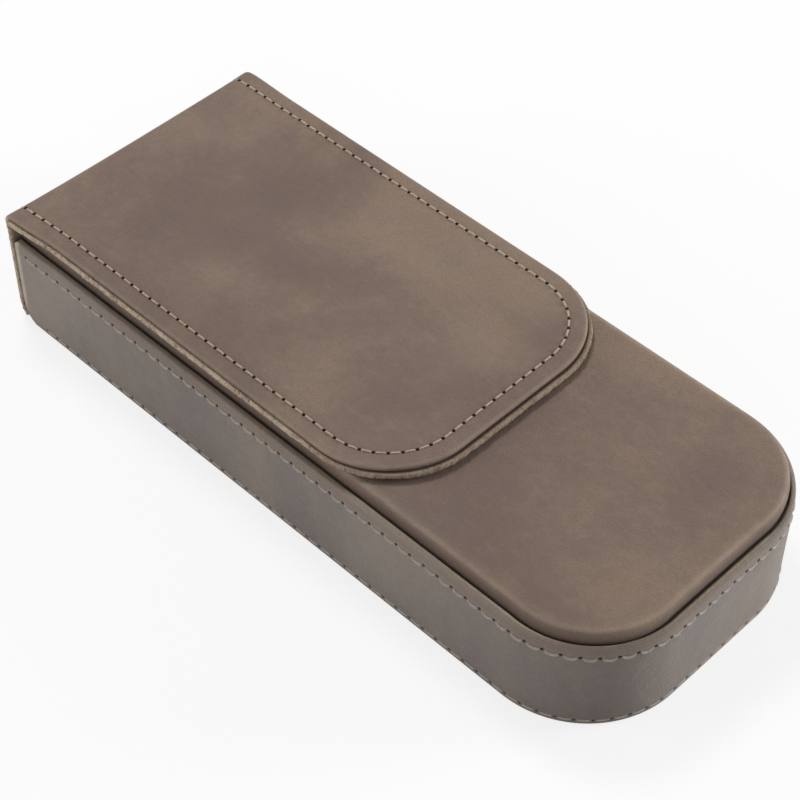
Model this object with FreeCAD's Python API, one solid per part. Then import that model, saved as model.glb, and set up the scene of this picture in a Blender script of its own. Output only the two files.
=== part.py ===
import FreeCAD, Part
import math
import os

# A hard leather pen case. The sleeve is closed at its round end. A pen tray slides out of its
# square end on the back of a two-ply leather strap, which folds over the top edge and lies
# on the front panel as a flap.
# +X runs from the square end to the round end, +Z is up and y = 0 is the middle plane.
# The origin is in the middle of the base. All sizes are in millimetres.

# Outer sizes of the case
case_length = 190.0  # outer face of the strap to the tip of the round end
case_width = 80.0
rim_height = 26.8  # top edge of the side band
corner_radius = 25.6  # the two large corners of the round end
base_corner_radius = 5.5  # where the sleeve's mouth meets the base

# Side band and what lies behind it
band_thickness = 1.6
band_lift = 0.25  # its lower edge stays clear of the table
band_edge_round = 0.7
stiffener_thickness = 1.2
side_lining_thickness = 0.8

# Front and back panels
panel_leather = 1.2
panel_board = 1.6
panel_lining = 0.6
panel_rise = 3.4  # how far the front panel stands above the rim
panel_edge_round = 1.15
groove_width = 1.0  # between the rim and the front panel
groove_depth = 2.0
front_flange_depth = 4.3  # leather behind the band, under the groove

# Strap: the same two plies cover the square end, the fold and the flap
outer_ply = 1.4
lining_ply = 1.4
strap_side_gap = 1.7  # between the strap's sides and the sides of the case, seen from above
lining_margin = 0.6  # how far the lining ply shows past the outer ply
ply_edge_round = 0.5
fold_inner_radius = 0.2
flap_reach = 129.4  # outer face of the square end to the flap's tip
flap_corner_radius = 22.2
flap_gap = 0.4  # between the flap and the front panel
mouth_gap = 0.3  # between the strap and the sleeve's mouth
strap_end_angle = 37.0  # how far the strap's lower end curls in under the case, in degrees

# Stitching
thread_width = 0.6
thread_height = 0.3
thread_sink = 0.05  # how far the thread lies below the leather's surface
thread_groove_width = 0.8
stitch_gap = 0.7  # the hole between one stitch and the next
strap_pitch = 3.2
strap_stitch_inset = 4.3
strap_stitch_start = 5.6  # first hole in the flap, from the outer face of the square end
band_pitch = 4.05
rim_stitch_drop = 3.15  # below the rim
base_stitch_height = 1.75
band_stitch_start = 7.1  # first hole in the band, from the outer face of the square end

# Magnets
magnet_radius = 5.0
magnet_thickness = 1.0
magnet_clearance = 0.1
magnet_from_tip = 13.0
magnet_spacing = 36.0

# Tray
tray_side_clearance = 0.5
tray_base_clearance = 0.4
tray_top_clearance = 0.6
tray_leather = 0.6
tray_board = 1.2
tray_front_board = 1.8
tray_floor_board = 1.0
tray_floor_setback = 0.6  # keeps the floor clear of the strap's curled end
tray_edge_round = 0.5
pen_slots = 3
divider_thickness = 2.2
divider_drop = 6.8  # below the tray's top edge
cradle_floor = 1.5  # under the lowest line of a trough
cradle_height = 7.0
trough_radius = 9.6

# Places that follow from the sizes
square_end = -case_length / 2
round_end = case_length / 2
strap_thickness = outer_ply + lining_ply
strap_half_width = case_width / 2 - strap_side_gap
mouth = square_end + strap_thickness + mouth_gap
panel_top = rim_height + panel_rise
flap_top = panel_top + flap_gap + strap_thickness
fold_radius = fold_inner_radius + strap_thickness
fold_x = square_end + fold_radius
fold_z = flap_top - fold_radius
panel_inset = band_thickness + groove_width
cavity_inset = panel_inset + panel_leather
floor_level = panel_leather + panel_board + panel_lining
ceiling_level = panel_top - panel_leather - panel_board - panel_lining
groove_floor = rim_height - groove_depth
flange_low = groove_floor - front_flange_depth
thread_groove_depth = thread_sink + thread_height
tray_inset = cavity_inset + tray_side_clearance
tray_low = floor_level + tray_base_clearance
tray_floor = tray_low + tray_leather + tray_floor_board
tray_top = ceiling_level - tray_top_clearance
tray_front = square_end + strap_thickness
tray_wall = tray_board + 2 * tray_leather
tray_inner_start = tray_front + tray_front_board + tray_leather
tray_inner_inset = tray_inset + tray_wall


def vector(x, y, z):
    return FreeCAD.Vector(x, y, z)


def line(start, end):
    return Part.LineSegment(start, end).toShape()


def arc(start, middle, end):
    return Part.Arc(start, middle, end).toShape()


def prism(edges, travel):
    """The solid that a closed outline sweeps along a straight travel."""
    return Part.Face(Part.Wire(edges)).extrude(travel)


class Outline:
    """A U seen from above, open towards the square end, with two round corners and a flat tip."""

    def __init__(self, half_width, tip, radius):
        self.half_width = half_width
        self.tip = tip
        self.radius = radius
        self.bend = tip - radius
        self.tip_half = half_width - radius

    def inset(self, distance):
        return Outline(self.half_width - distance, self.tip - distance, self.radius - distance)

    def plate(self, start, low, high):
        """Everything inside the U from x = start, between two levels."""
        turn = self.radius * math.sqrt(0.5)
        side = self.half_width
        right = vector(start, -side, low)
        right_bend = vector(self.bend, -side, low)
        right_turn = vector(self.bend + turn, -self.tip_half - turn, low)
        right_tip = vector(self.tip, -self.tip_half, low)
        left_tip = vector(self.tip, self.tip_half, low)
        left_turn = vector(self.bend + turn, self.tip_half + turn, low)
        left_bend = vector(self.bend, side, low)
        left = vector(start, side, low)
        edges = [
            line(left, right),
            line(right, right_bend),
            arc(right_bend, right_turn, right_tip),
            line(right_tip, left_tip),
            arc(left_tip, left_turn, left_bend),
            line(left_bend, left),
        ]
        return prism(edges, vector(0, 0, high - low))

    def ring(self, start, thickness, low, high):
        """A wall of one thickness that follows the U on its inside."""
        hollow = self.inset(thickness).plate(start - thickness, low, high)
        return self.plate(start, low, high).cut(hollow)

    def length(self, start):
        return 2 * (self.bend - start) + math.pi * self.radius + 2 * self.tip_half

    def walk(self, start, distance):
        """The point at a distance along the U, and the heading there in radians."""
        side = self.bend - start
        corner = self.radius * math.pi / 2
        tip = 2 * self.tip_half
        if distance <= side:
            return start + distance, -self.half_width, 0.0
        distance -= side
        if distance <= corner:
            angle = distance / self.radius
            x = self.bend + self.radius * math.sin(angle)
            return x, -self.tip_half - self.radius * math.cos(angle), angle
        distance -= corner
        if distance <= tip:
            return self.tip, distance - self.tip_half, math.pi / 2
        distance -= tip
        if distance <= corner:
            angle = distance / self.radius
            x = self.bend + self.radius * math.cos(angle)
            return x, self.tip_half + self.radius * math.sin(angle), math.pi / 2 + angle
        distance -= corner
        return self.bend - distance, self.half_width, math.pi


case = Outline(case_width / 2, round_end, corner_radius)
flap = Outline(strap_half_width, square_end + flap_reach, flap_corner_radius)


def rounded(shape, radius, chosen):
    """Rounds the edges for which chosen(box) is true, where box is an edge's bounding box."""
    edges = [edge for edge in shape.Edges if chosen(edge.BoundBox)]
    return shape.makeFillet(radius, edges)


def close(a, b):
    return abs(a - b) < 1e-4


def at_level(level):
    return lambda box: close(box.ZMin, level) and close(box.ZMax, level)


def outline_at(level, start):
    """Edges of a U at one level, without the straight one across its open end."""
    return lambda box: at_level(level)(box) and not close(box.XMax, start)


def sleeve_profile():
    """What the sleeve may fill, seen from the side: its mouth has a rounded lower corner."""
    radius = base_corner_radius
    side = case_width
    turn = radius * (1 - math.sqrt(0.5))
    top = vector(mouth, -side, panel_top)
    upper = vector(mouth, -side, radius)
    middle = vector(mouth + turn, -side, turn)
    lower = vector(mouth + radius, -side, 0)
    far = vector(round_end, -side, 0)
    far_top = vector(round_end, -side, panel_top)
    edges = [
        line(top, upper),
        arc(upper, middle, lower),
        line(lower, far),
        line(far, far_top),
        line(far_top, top),
    ]
    return prism(edges, vector(0, 2 * side, 0))


def thread_groove(outline, inset, start, level):
    """The shallow channel in the top face of a sheet, in which a row of stitches lies."""
    outer = outline.inset(inset - thread_groove_width / 2)
    return outer.ring(start, thread_groove_width, level - thread_groove_depth, level)


def stitch(centre, along, out, pitch):
    """One flat stitch with round ends, its upper face just under the leather's surface."""
    half = (pitch - stitch_gap - thread_width) / 2
    across = out.cross(along)
    radius = thread_width / 2
    top = centre - out * thread_sink
    ahead = along * half
    beside = across * radius
    past = along * (half + radius)
    edges = [
        line(top - ahead - beside, top + ahead - beside),
        arc(top + ahead - beside, top + past, top + ahead + beside),
        line(top + ahead + beside, top - ahead + beside),
        arc(top - ahead + beside, top - past, top - ahead - beside),
    ]
    return prism(edges, out * -thread_height)


def steps(length, pitch):
    """The middles of as many whole stitches as fill a length, and their true pitch."""
    count = max(1, round(length / pitch))
    true_pitch = length / count
    return [(index + 0.5) * true_pitch for index in range(count)], true_pitch


def band_stitches(start, level):
    middles, pitch = steps(case.length(start), band_pitch)
    row = []
    for distance in middles:
        x, y, heading = case.walk(start, distance)
        along = vector(math.cos(heading), math.sin(heading), 0)
        out = vector(math.sin(heading), -math.cos(heading), 0)
        row.append(stitch(vector(x, y, level), along, out, pitch))
    return Part.makeCompound(row)


def side_band():
    band = case.ring(mouth, band_thickness, band_lift, rim_height).common(sleeve_profile())
    band = rounded(band, band_edge_round, outline_at(rim_height, mouth))
    for level in (rim_height - rim_stitch_drop, base_stitch_height):
        low = level - thread_groove_width / 2
        high = level + thread_groove_width / 2
        start = square_end + band_stitch_start
        band = band.cut(case.ring(start, thread_groove_depth, low, high))
    return band


def side_stiffener():
    behind = case.inset(band_thickness)
    wall = behind.ring(mouth, stiffener_thickness, floor_level, flange_low)
    return wall.common(sleeve_profile())


def side_lining():
    inside = case.inset(band_thickness + stiffener_thickness)
    wall = inside.ring(mouth, side_lining_thickness, floor_level, groove_floor - panel_leather)
    return wall.common(sleeve_profile())


def front_panel_leather():
    """The moulded front: a flat top, a lip down into the groove, and a flange behind the band."""
    top = case.inset(panel_inset).plate(mouth, panel_top - panel_leather, panel_top)
    joggle_low = groove_floor - panel_leather
    lip = case.inset(panel_inset).ring(mouth, panel_leather, joggle_low, panel_top)
    joggle = case.inset(band_thickness)
    joggle = joggle.ring(mouth, cavity_inset - band_thickness, joggle_low, groove_floor)
    flange = case.inset(band_thickness)
    flange = flange.ring(mouth, stiffener_thickness, flange_low, groove_floor)
    half = case_width / 2 - panel_inset
    turned = Part.makeBox(
        panel_leather, 2 * half, panel_top - ceiling_level, vector(mouth, -half, ceiling_level)
    )
    shell = top.fuse([lip, joggle, flange, turned]).removeSplitter()
    return rounded(shell, panel_edge_round, at_level(panel_top))


def magnet_places():
    x = flap.tip - magnet_from_tip
    return [(x, -magnet_spacing / 2), (x, magnet_spacing / 2)]


def discs(radius, low, high):
    found = []
    for x, y in magnet_places():
        found.append(Part.makeCylinder(radius, high - low, vector(x, y, low)))
    return found


def front_panel_board():
    low = ceiling_level + panel_lining
    board = case.inset(cavity_inset).plate(mouth + panel_leather, low, low + panel_board)
    pocket_top = low + magnet_thickness + magnet_clearance
    return board.cut(discs(magnet_radius + magnet_clearance, low, pocket_top))


def panel_magnets():
    low = ceiling_level + panel_lining
    return Part.makeCompound(discs(magnet_radius, low, low + magnet_thickness))


def front_panel_lining():
    start = mouth + panel_leather
    return case.inset(cavity_inset).plate(start, ceiling_level, ceiling_level + panel_lining)


def back_panel_leather():
    outline = case.inset(band_thickness)
    sheet = outline.plate(mouth, 0, panel_leather)
    flange = outline.ring(mouth, stiffener_thickness, 0, floor_level)
    return sheet.fuse(flange).removeSplitter().common(sleeve_profile())


def back_panel_board():
    inside = case.inset(band_thickness + stiffener_thickness)
    board = inside.plate(mouth, panel_leather, panel_leather + panel_board)
    return board.common(sleeve_profile())


def back_panel_lining():
    inside = case.inset(band_thickness + stiffener_thickness)
    lining = inside.plate(mouth, floor_level - panel_lining, floor_level)
    return lining.common(sleeve_profile())


def rim_thread():
    return band_stitches(square_end + band_stitch_start, rim_height - rim_stitch_drop)


def base_thread():
    return band_stitches(square_end + band_stitch_start, base_stitch_height)


def curl_point(radius, degrees, side):
    """A point on the strap's curled lower end, about the centre of the sleeve's corner."""
    angle = math.radians(degrees)
    x = mouth + base_corner_radius - radius * math.cos(angle)
    return vector(x, -side, base_corner_radius - radius * math.sin(angle))


def end_ply(depth, thickness, half_width):
    """One ply of the strap over the square end, from the fold down to its curled lower edge."""
    outer_x = square_end + depth
    inner_x = outer_x + thickness
    centre_x = mouth + base_corner_radius
    outer_radius = centre_x - outer_x
    inner_radius = centre_x - inner_x
    full = strap_end_angle
    outer_top = vector(outer_x, -half_width, fold_z)
    inner_top = vector(inner_x, -half_width, fold_z)
    outer_end = curl_point(outer_radius, full, half_width)
    inner_end = curl_point(inner_radius, full, half_width)
    outer_start = curl_point(outer_radius, 0, half_width)
    inner_start = curl_point(inner_radius, 0, half_width)
    edges = [
        line(inner_top, outer_top),
        line(outer_top, outer_start),
        arc(outer_start, curl_point(outer_radius, full / 2, half_width), outer_end),
        line(outer_end, inner_end),
        arc(inner_end, curl_point(inner_radius, full / 2, half_width), inner_start),
        line(inner_start, inner_top),
    ]
    return prism(edges, vector(0, 2 * half_width, 0))


def along_strap(half_width):
    """The long edges of a ply, which run at its two sides."""
    return lambda box: close(box.YMin, box.YMax) and close(abs(box.YMin), half_width)


def end_stitch_sides():
    side = strap_half_width - strap_stitch_inset
    return [-side, side]


def end_outer_leather():
    ply = end_ply(0, outer_ply, strap_half_width)

    def outer_edge(box):
        return along_strap(strap_half_width)(box) and close(box.XMin, square_end)

    ply = rounded(ply, ply_edge_round, outer_edge)
    for side in end_stitch_sides():
        corner = vector(square_end, side - thread_groove_width / 2, base_corner_radius)
        height = fold_z - base_corner_radius
        groove = Part.makeBox(thread_groove_depth, thread_groove_width, height, corner)
        ply = ply.cut(groove)
    return ply


def end_lining_leather():
    return end_ply(outer_ply, lining_ply, strap_half_width + lining_margin)


def end_thread():
    middles, pitch = steps(fold_z - base_corner_radius, strap_pitch)
    row = []
    for side in end_stitch_sides():
        for distance in middles:
            centre = vector(square_end, side, base_corner_radius + distance)
            row.append(stitch(centre, vector(0, 0, 1), vector(-1, 0, 0), pitch))
    return Part.makeCompound(row)


def fold_ply(inner_radius, thickness, half_width):
    """A quarter turn of one ply, from the top of the square end to the start of the flap."""
    outer_radius = inner_radius + thickness

    def at(radius, degrees):
        angle = math.radians(degrees)
        x = fold_x - radius * math.cos(angle)
        return vector(x, -half_width, fold_z + radius * math.sin(angle))

    edges = [
        line(at(inner_radius, 0), at(outer_radius, 0)),
        arc(at(outer_radius, 0), at(outer_radius, 45), at(outer_radius, 90)),
        line(at(outer_radius, 90), at(inner_radius, 90)),
        arc(at(inner_radius, 90), at(inner_radius, 45), at(inner_radius, 0)),
    ]
    return prism(edges, vector(0, 2 * half_width, 0))


def fold_outer_leather():
    return fold_ply(fold_inner_radius + lining_ply, outer_ply, strap_half_width)


def fold_lining_leather():
    return fold_ply(fold_inner_radius, lining_ply, strap_half_width + lining_margin)


def flap_outer_leather():
    low = flap_top - outer_ply
    ply = flap.plate(fold_x, low, flap_top)
    ply = rounded(ply, ply_edge_round, outline_at(flap_top, fold_x))
    start = square_end + strap_stitch_start
    return ply.cut(thread_groove(flap, strap_stitch_inset, start, flap_top))


def flap_lining_leather():
    low = flap_top - strap_thickness
    high = flap_top - outer_ply
    ply = flap.inset(-lining_margin).plate(fold_x, low, high)
    ply = rounded(ply, ply_edge_round, outline_at(low, fold_x))
    pocket_low = high - magnet_thickness - magnet_clearance
    return ply.cut(discs(magnet_radius + magnet_clearance, pocket_low, high))


def flap_magnets():
    high = flap_top - outer_ply
    return Part.makeCompound(discs(magnet_radius, high - magnet_thickness, high))


def flap_thread():
    path = flap.inset(strap_stitch_inset)
    start = square_end + strap_stitch_start
    middles, pitch = steps(path.length(start), strap_pitch)
    row = []
    for distance in middles:
        x, y, heading = path.walk(start, distance)
        along = vector(math.cos(heading), math.sin(heading), 0)
        row.append(stitch(vector(x, y, flap_top), along, vector(0, 0, 1), pitch))
    return Part.makeCompound(row)


def tray_bottom_leather():
    start = tray_front + tray_floor_setback
    return case.inset(tray_inset).plate(start, tray_low, tray_low + tray_leather)


def tray_floor_sheet():
    start = tray_front + tray_floor_setback
    return case.inset(tray_inset).plate(start, tray_low + tray_leather, tray_floor)


def tray_wall_board():
    core = case.inset(tray_inset + tray_leather)
    return core.ring(tray_inner_start, tray_board, tray_floor, tray_top - tray_leather)


def tray_wall_leather():
    start = tray_inner_start
    wall = case.inset(tray_inset).ring(start, tray_wall, tray_floor, tray_top)
    wall = rounded(wall, tray_edge_round, outline_at(tray_top, start))
    core = case.inset(tray_inset + tray_leather)
    return wall.cut(core.ring(start, tray_board, tray_floor, tray_top - tray_leather))


def tray_front_panel():
    half = case_width / 2 - tray_inset
    corner = vector(tray_front, -half, tray_floor)
    height = tray_top - tray_leather - tray_floor
    board = Part.makeBox(tray_front_board, 2 * half, height, corner)
    return board.cut(end_lining_leather())


def tray_front_lining():
    """Leather over the inner face and the top edge of the tray's front board."""
    half = case_width / 2 - tray_inset
    corner = vector(tray_front, -half, tray_floor)
    whole = Part.makeBox(tray_front_board + tray_leather, 2 * half, tray_top - tray_floor, corner)

    def top_edge(box):
        return at_level(tray_top)(box) and close(box.XMin, box.XMax)

    whole = rounded(whole, tray_edge_round, top_edge)
    return whole.cut([tray_front_panel(), end_lining_leather()])


def slot_width():
    inside = case_width - 2 * tray_inner_inset
    return (inside - (pen_slots - 1) * divider_thickness) / pen_slots


def slot_low_side(index):
    return tray_inner_inset - case_width / 2 + index * (slot_width() + divider_thickness)


def tray_inside(high):
    return case.inset(tray_inner_inset).plate(tray_inner_start, tray_floor, high)


def slot_divider(index):
    """An upright strip with a round top, from the tray's front to its far wall."""
    low_side = slot_low_side(index) + slot_width()
    high_side = low_side + divider_thickness
    radius = divider_thickness / 2
    shoulder = tray_top - divider_drop - radius
    x = tray_inner_start
    edges = [
        line(vector(x, low_side, tray_floor), vector(x, low_side, shoulder)),
        arc(
            vector(x, low_side, shoulder),
            vector(x, low_side + radius, shoulder + radius),
            vector(x, high_side, shoulder),
        ),
        line(vector(x, high_side, shoulder), vector(x, high_side, tray_floor)),
        line(vector(x, high_side, tray_floor), vector(x, low_side, tray_floor)),
    ]
    return prism(edges, vector(case_length, 0, 0)).common(tray_inside(tray_top))


def pen_cradle(index):
    """A soft block with a round trough, cut to the tray's inner outline."""
    low_side = slot_low_side(index)
    x = tray_inner_start
    block = Part.makeBox(case_length, slot_width(), cradle_height, vector(x, low_side, tray_floor))
    middle = vector(x, low_side + slot_width() / 2, tray_floor + cradle_floor + trough_radius)
    trough = Part.makeCylinder(trough_radius, case_length, middle, vector(1, 0, 0))
    return block.cut(trough).common(tray_inside(tray_floor + cradle_height))


def pieces():
    """Every piece by its name."""
    found = {
        "side_band": side_band(),
        "side_stiffener": side_stiffener(),
        "side_lining": side_lining(),
        "front_panel_leather": front_panel_leather(),
        "front_panel_board": front_panel_board(),
        "front_panel_lining": front_panel_lining(),
        "back_panel_leather": back_panel_leather(),
        "back_panel_board": back_panel_board(),
        "back_panel_lining": back_panel_lining(),
        "rim_thread": rim_thread(),
        "base_thread": base_thread(),
        "panel_magnets": panel_magnets(),
        "tray_bottom_leather": tray_bottom_leather(),
        "tray_floor_board": tray_floor_sheet(),
        "tray_wall_board": tray_wall_board(),
        "tray_wall_leather": tray_wall_leather(),
        "tray_front_board": tray_front_panel(),
        "tray_front_lining": tray_front_lining(),
        "end_outer_leather": end_outer_leather(),
        "end_lining_leather": end_lining_leather(),
        "end_thread": end_thread(),
        "fold_outer_leather": fold_outer_leather(),
        "fold_lining_leather": fold_lining_leather(),
        "flap_outer_leather": flap_outer_leather(),
        "flap_lining_leather": flap_lining_leather(),
        "flap_magnets": flap_magnets(),
        "flap_thread": flap_thread(),
    }
    for index in range(pen_slots - 1):
        found[f"slot_divider_{index + 1}"] = slot_divider(index)
    for index in range(pen_slots):
        found[f"pen_cradle_{index + 1}"] = pen_cradle(index)
    return found


os.makedirs("parts", exist_ok=True)
for name, shape in pieces().items():
    shape.exportStep(f"parts/{name}.step")
    print(name, "solids", len(shape.Solids), "volume", round(shape.Volume, 1), "valid", shape.isValid())
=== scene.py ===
import math

import bmesh
import bpy
from mathutils import Matrix, Vector, noise
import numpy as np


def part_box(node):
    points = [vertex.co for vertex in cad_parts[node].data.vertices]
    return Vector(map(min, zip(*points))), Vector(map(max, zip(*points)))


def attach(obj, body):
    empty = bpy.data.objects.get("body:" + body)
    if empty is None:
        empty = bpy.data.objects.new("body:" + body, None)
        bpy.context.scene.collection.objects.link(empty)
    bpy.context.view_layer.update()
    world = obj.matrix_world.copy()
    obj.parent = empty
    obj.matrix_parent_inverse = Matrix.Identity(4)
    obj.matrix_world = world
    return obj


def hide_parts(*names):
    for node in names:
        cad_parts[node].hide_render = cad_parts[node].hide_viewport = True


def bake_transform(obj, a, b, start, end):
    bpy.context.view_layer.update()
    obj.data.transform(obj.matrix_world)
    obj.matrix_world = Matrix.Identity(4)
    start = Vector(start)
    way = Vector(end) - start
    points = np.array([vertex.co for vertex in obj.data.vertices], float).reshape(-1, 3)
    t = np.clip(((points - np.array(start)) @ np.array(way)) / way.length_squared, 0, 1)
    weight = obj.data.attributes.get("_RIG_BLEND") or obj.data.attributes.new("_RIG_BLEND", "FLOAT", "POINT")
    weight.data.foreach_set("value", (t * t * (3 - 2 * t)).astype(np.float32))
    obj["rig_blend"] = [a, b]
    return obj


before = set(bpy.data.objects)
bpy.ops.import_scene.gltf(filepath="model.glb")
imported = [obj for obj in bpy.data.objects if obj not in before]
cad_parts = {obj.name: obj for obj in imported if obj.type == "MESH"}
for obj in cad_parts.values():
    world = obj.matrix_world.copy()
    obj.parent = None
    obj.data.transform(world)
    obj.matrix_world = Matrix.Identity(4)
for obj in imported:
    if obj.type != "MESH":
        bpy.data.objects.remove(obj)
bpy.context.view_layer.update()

mm = 0.001

# the case as the frame gives it: a U seen from above, open at the square end
bandLow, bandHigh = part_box("side_band")
panelLow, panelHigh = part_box("front_panel_leather")
flapLow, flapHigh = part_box("flap_outer_leather")
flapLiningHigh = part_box("flap_lining_leather")[1]
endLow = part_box("end_outer_leather")[0]
foldLow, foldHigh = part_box("fold_outer_leather")
wallLow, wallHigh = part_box("tray_wall_leather")
caseOutline = {
    "start": bandLow.x,
    "tip": bandHigh.x,
    "halfWidth": bandHigh.y,
    "radius": 25.6 * mm,
}


# the U as a path

def insetOutline(outline, distance):
    inset = {key: outline[key] - distance for key in ("tip", "halfWidth", "radius")}
    return dict(inset, start=outline["start"])


def outlineLength(outline):
    side = outline["tip"] - outline["radius"] - outline["start"]
    return 2 * side + math.pi * outline["radius"] + 2 * (outline["halfWidth"] - outline["radius"])


def alongOutline(outline, distance):
    # the place and the outward direction after walking from the square end on the -Y side
    length = outlineLength(outline)
    if distance > length / 2:
        place, out = alongOutline(outline, length - distance)
        return Vector((place.x, -place.y, 0)), Vector((out.x, -out.y, 0))
    radius = outline["radius"]
    bend = outline["tip"] - radius
    side = bend - outline["start"]
    if distance <= side:
        return Vector((outline["start"] + distance, -outline["halfWidth"], 0)), Vector((0, -1, 0))
    angle = (distance - side) / radius
    if angle <= math.pi / 2:
        out = Vector((math.sin(angle), -math.cos(angle), 0))
        return Vector((bend, radius - outline["halfWidth"], 0)) + out * radius, out
    return Vector((outline["tip"], distance - length / 2, 0)), Vector((1, 0, 0))


def cornerReach(outline, distance):
    # 0 on the straight parts of a path, 1 halfway round each of the tip's two corners
    radius = outline["radius"]
    fromMiddle = abs(distance - outlineLength(outline) / 2)
    angle = (fromMiddle - (outline["halfWidth"] - radius)) / radius
    if not 0 < angle < math.pi / 2:
        return 0.0
    return (math.sqrt(2) * math.cos(angle - math.pi / 4) - 1) / (math.sqrt(2) - 1)


# strips: flat first, as leather is cut and punched, then led along the U

def stitchColumns(length, pitch, firstHole, holeRadius):
    # places along a strip, five to a hole, and the holes' own places
    columns = [0.0]
    holes = []
    gap = (pitch - 2 * holeRadius) / 3
    place = firstHole
    while place - pitch > pitch:
        place -= pitch
    while place < length - pitch / 2:
        holes.append(place)
        after = place + holeRadius
        columns += [place - holeRadius, place, after, after + gap, after + 2 * gap]
        place += pitch
    columns = [c for c in columns if 0 <= c < length - holeRadius / 2] + [length]
    return sorted(set(columns)), holes


def evenColumns(length, step):
    count = max(2, round(length / step))
    return [length * index / count for index in range(count + 1)]


def makeStrip(columns, rows):
    # rows are (inset, height, wear and painted light); the strip lies along X, its insets along Y
    bm = bmesh.new()
    across = len(columns) - 1
    up = len(rows) - 1
    bmesh.ops.create_grid(bm, x_segments=across, y_segments=up, size=0.5)
    wearAndPaintedLight = bm.verts.layers.float.new("wearAndPaintedLight")
    corner = {}
    for vert in bm.verts:
        i = round((vert.co.x + 0.5) * across)
        j = round((vert.co.y + 0.5) * up)
        vert.co = Vector((columns[i], rows[j][0], rows[j][1]))
        vert[wearAndPaintedLight] = rows[j][2]
        corner[i, j] = vert
    assert len(corner) == len(columns) * len(rows)
    return bm, corner


def punchHoles(bm, corner, columns, holes, row, radius, into, sideways):
    # rounds the cells about each hole and pushes them in, sideways is the second flat direction
    faces = []
    for place in holes:
        i = columns.index(place)
        middle = corner[i, row]
        for di in (-1, 1):
            for dj in (-1, 1):
                turn = Vector((di, 0, 0)) + sideways * dj
                corner[i + di, row + dj].co = middle.co + turn * radius * math.sqrt(0.5)
        faces += list(middle.link_faces)
    pushed = bmesh.ops.extrude_face_region(bm, geom=faces)["geom"]
    for face in faces:
        if face.is_valid:
            bm.faces.remove(face)
    verts = [g for g in pushed if isinstance(g, bmesh.types.BMVert)]
    bmesh.ops.translate(bm, verts=verts, vec=into)
    for vert in verts:
        for face in vert.link_faces:
            face.material_index = 1


def layAlong(bm, outline, pathInset):
    # leads a flat strip along the U, where pathInset is the line that keeps its length
    path = insetOutline(outline, pathInset)
    for vert in bm.verts:
        place, out = alongOutline(path, vert.co.x)
        vert.co = place + out * (pathInset - vert.co.y) + Vector((0, 0, vert.co.z))


def fillInside(bm, corner, columns, row):
    # one face inside a strip's row of vertices, closed across the square end
    chain = [corner[i, row] for i in range(len(columns))]
    edges = [bm.edges.get(pair) for pair in zip(chain, chain[1:])]
    closing = bm.edges.get((chain[-1], chain[0]))
    if closing is None:
        closing = bmesh.ops.contextual_create(bm, geom=[chain[-1], chain[0]])["edges"][0]
    bmesh.ops.edgeloop_fill(bm, edges=edges + [closing])


def closeEnds(bm):
    boundary = [edge for edge in bm.edges if edge.is_boundary]
    bmesh.ops.holes_fill(bm, edges=boundary, sides=0)


def closeBelow(bm, height, materialIndex):
    # a wall from the open rim down to a height, and a face across its end
    rim = [edge for edge in bm.edges if edge.is_boundary]
    side = bmesh.ops.extrude_edge_only(bm, edges=rim)["geom"]
    for vert in [g for g in side if isinstance(g, bmesh.types.BMVert)]:
        vert.co.z = height
    lower = [g for g in side if isinstance(g, bmesh.types.BMEdge) and g.is_boundary]
    bmesh.ops.edgeloop_fill(bm, edges=lower, mat_nr=materialIndex)


def roundEdges(bm, edges, radius, segments):
    bmesh.ops.bevel(
        bm, geom=edges, offset=radius, segments=segments, profile=0.5, affect="EDGES", material=-1
    )


def makeBox(low, high):
    bm = bmesh.new()
    bmesh.ops.create_cube(bm, size=1)
    bmesh.ops.scale(bm, vec=high - low, verts=bm.verts[:])
    bmesh.ops.translate(bm, vec=(low + high) / 2, verts=bm.verts[:])
    return bm


largeFace = (4.5 * mm) ** 2  # an inner face of this area is cut smaller


def cutAcross(bm, places, axis, onlyLarge):
    # cuts the mesh, or only its large inner faces, at each place along X or Y
    normal = Vector((1, 0, 0)) if axis == 0 else Vector((0, 1, 0))
    for place in places:
        faces = bm.faces[:]
        if onlyLarge:
            faces = [f for f in faces if len(f.verts) > 8 or f.calc_area() > largeFace]
        geom = set(faces)
        for face in faces:
            geom.update(face.edges)
            geom.update(face.verts)
        bmesh.ops.bisect_plane(
            bm, geom=list(geom), dist=1e-7, plane_co=normal * place, plane_no=normal
        )


def cutGrid(bm, step, alongX, alongY):
    # cuts the large inner faces both ways, at these counts of a step in mm
    for axis, counts in enumerate((alongX, alongY)):
        cutAcross(bm, [count * step * mm for count in counts], axis, True)


def softStep(value):
    value = min(1.0, max(0.0, value))
    return value * value * (3 - 2 * value)


def smoothNoise(x, y, z, size):
    return noise.noise(Vector((x, y, z)) / size)


def addObject(name, data):
    added = bpy.data.objects.new(name, data)
    bpy.context.scene.collection.objects.link(added)
    return added


def toObject(name, bm, materials, body=None, sharp=38):
    bmesh.ops.remove_doubles(bm, verts=bm.verts[:], dist=1e-6)
    bmesh.ops.recalc_face_normals(bm, faces=bm.faces[:])
    mesh = bpy.data.meshes.new(name)
    bm.to_mesh(mesh)
    bm.free()
    mesh.shade_smooth()
    mesh.set_sharp_from_angle(angle=math.radians(sharp))
    piece = addObject(name, mesh)
    for material in materials:
        mesh.materials.append(material)
    if body:
        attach(piece, body)
    return piece


# materials

def newMaterial(name):
    material = bpy.data.materials.new(name)
    material.use_nodes = True
    tree = material.node_tree
    return material, tree, tree.nodes["Principled BSDF"]


def setInputs(tree, node, values):
    # a link where the value is another node's socket, else the value itself
    for key, value in values.items():
        socket = node.inputs[key]
        if isinstance(value, bpy.types.NodeSocket):
            tree.links.new(value, socket)
        else:
            socket.default_value = value


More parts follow.
